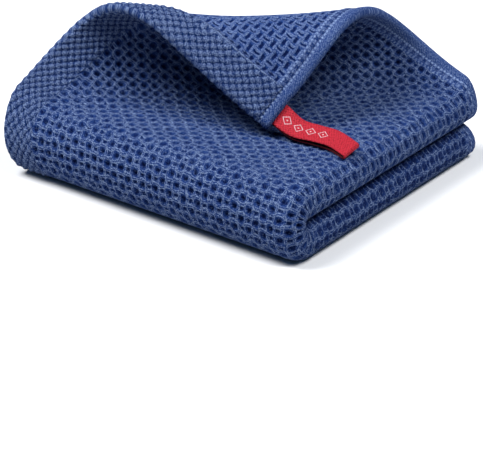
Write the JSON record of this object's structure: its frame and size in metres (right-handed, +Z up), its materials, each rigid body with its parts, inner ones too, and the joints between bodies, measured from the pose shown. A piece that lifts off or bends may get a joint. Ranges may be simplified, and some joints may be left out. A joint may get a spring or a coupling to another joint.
{
  "type": "dishcloth",
  "caption": "Waffle-weave cotton dishcloth with woven borders and a sewn-in hanging loop, folded into a square pad with the top corner rolled forward.",
  "frame": {"origin": "middle of the folded cloth's footprint, on the surface it lies on", "axes": "+Z up from the surface, -Y towards the rounded front fold, +X towards the pair of stacked side folds"},
  "size_m": [0.1546, 0.1556, 0.0731],
  "materials": {
    "waffle_cotton": "matte woven cotton, waffle relief with a dense basket-weave border",
    "loop_tape": "low-sheen woven tape"
  },
  "bodies": {
    "root": {"cloth": "waffle_cotton", "hanging_loop": "loop_tape"}
  },
  "joints": []
}
